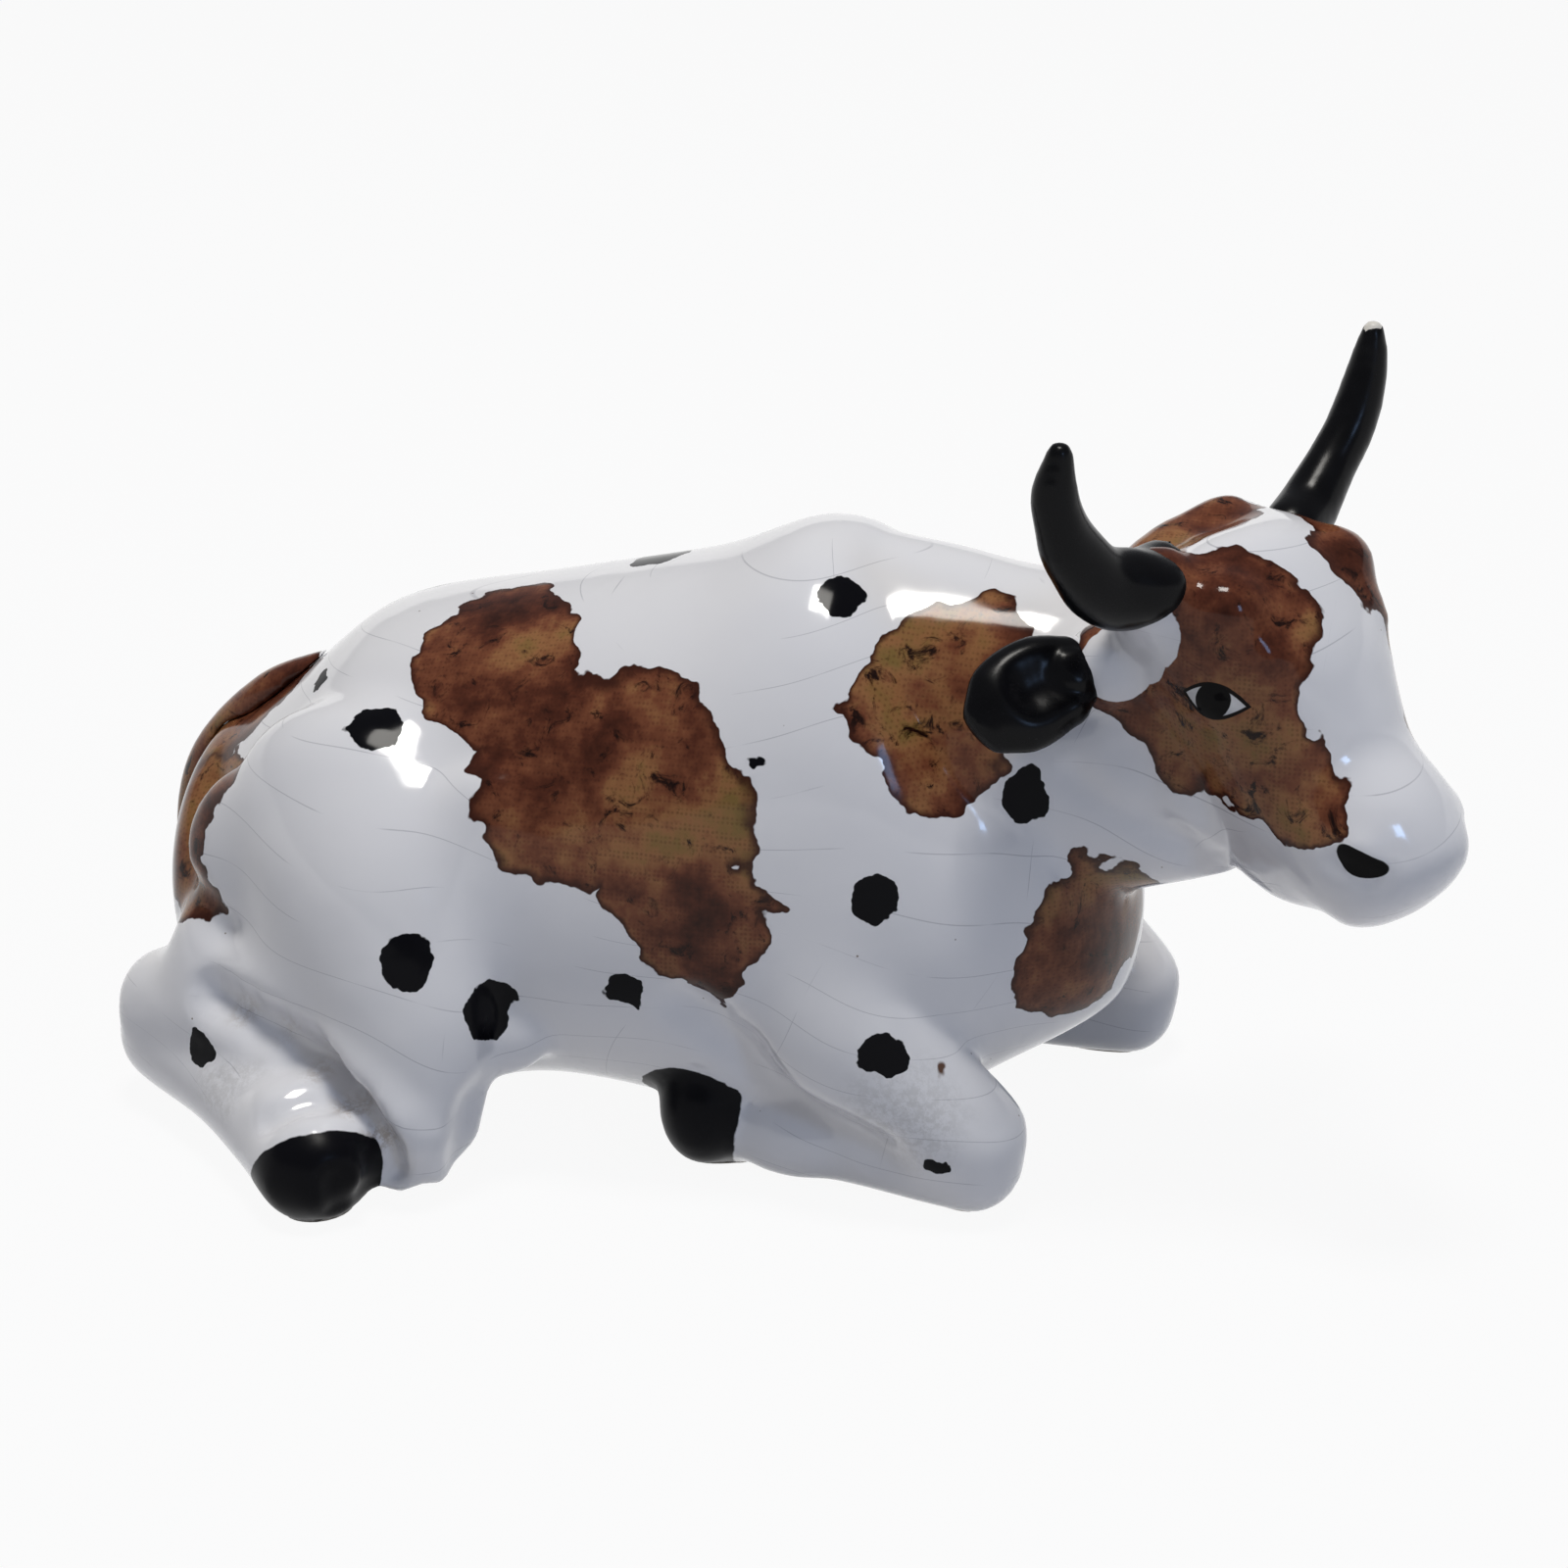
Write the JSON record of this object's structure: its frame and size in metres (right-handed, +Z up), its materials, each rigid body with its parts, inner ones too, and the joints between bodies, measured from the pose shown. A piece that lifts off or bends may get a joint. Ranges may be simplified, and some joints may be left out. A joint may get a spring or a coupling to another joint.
{
  "type": "cow figurine",
  "caption": "Glazed ceramic ornament of a horned cow lying down with its head turned aside, standing free on a flat-cut underside.",
  "frame": {"origin": "on the ground under the withers, on the flat-cut underside of the body", "axes": "+X forward to the chest, +Y to the cow's left, +Z up"},
  "size_m": [0.1514, 0.0954, 0.0904],
  "materials": {
    "white_glaze": "clear crazed glaze over white earthenware",
    "brown_glaze": "brown underglaze colour below clear glaze",
    "black_glaze": "black glaze, fired glossy"
  },
  "bodies": {
    "root": {"body_shell": "white_glaze", "head_shell": "white_glaze", "left_foreleg": "white_glaze", "right_foreleg": "white_glaze", "left_hind_leg": "white_glaze", "right_hind_leg": "white_glaze", "tail": "brown_glaze", "left_horn": "black_glaze", "right_horn": "black_glaze", "left_ear": "black_glaze", "right_ear": "black_glaze"}
  },
  "joints": []
}
